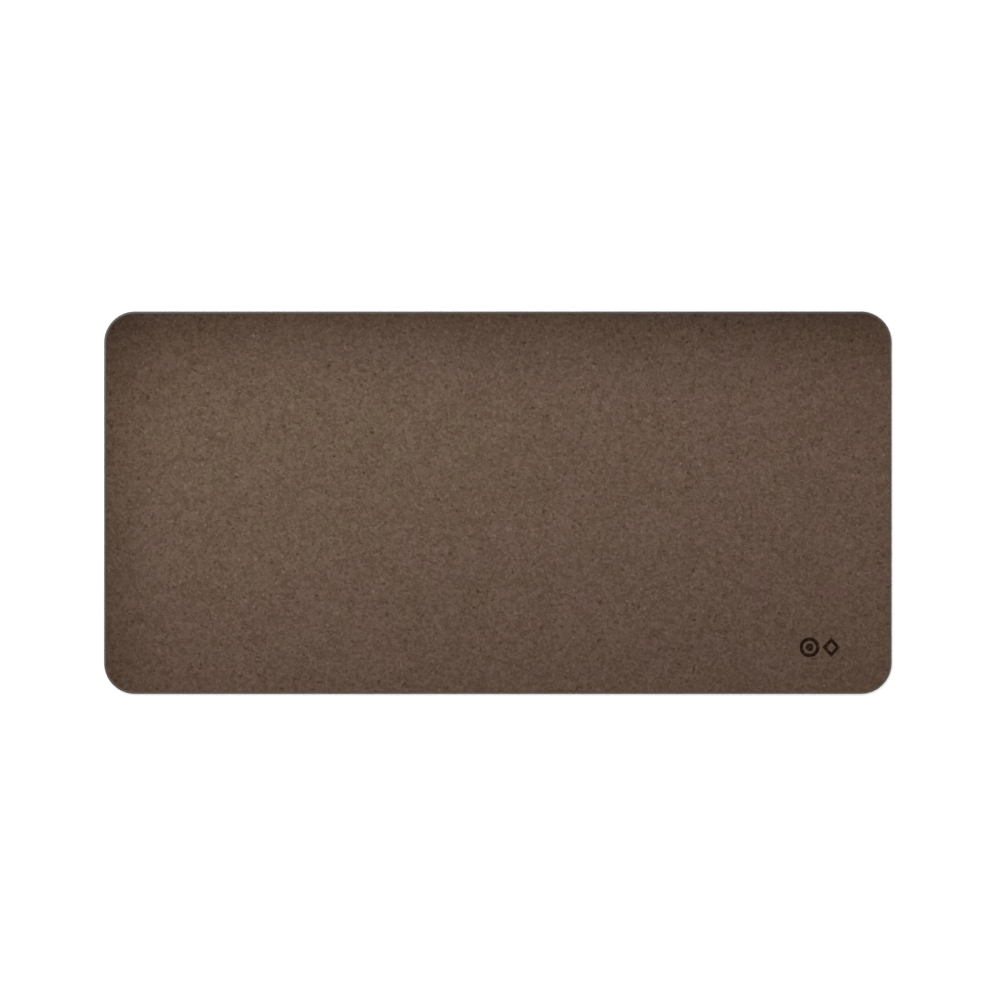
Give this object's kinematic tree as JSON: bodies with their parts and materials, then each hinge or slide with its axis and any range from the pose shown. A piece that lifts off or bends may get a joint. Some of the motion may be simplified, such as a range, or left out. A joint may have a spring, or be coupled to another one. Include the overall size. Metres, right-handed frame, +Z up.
{
  "type": "desk mat",
  "caption": "Flat rectangular desk mat with rounded corners: fine-grain brown cork face on a non-slip rubber base, sealed edge and a small pressed geometric mark.",
  "frame": {"origin": "middle of the underside, on the surface that the mat lies on", "axes": "+X along the long side, towards the end with the pressed mark; +Y towards the back edge, away from the user; +Z up out of the cork face"},
  "size_m": [0.7, 0.34, 0.003],
  "materials": {
    "cork": "matte",
    "bond_film": "satin",
    "cloth": "matte",
    "rubber": "matte",
    "seal": "satin",
    "foil": "matte"
  },
  "bodies": {
    "root": {"cork_face": "cork", "face_bond_film": "bond_film", "backing_cloth": "cloth", "base_bond_film": "bond_film", "rubber_base": "rubber", "edge_seal": "seal", "mark_ring": "foil", "mark_dot": "foil", "mark_lozenge": "foil"}
  },
  "joints": []
}
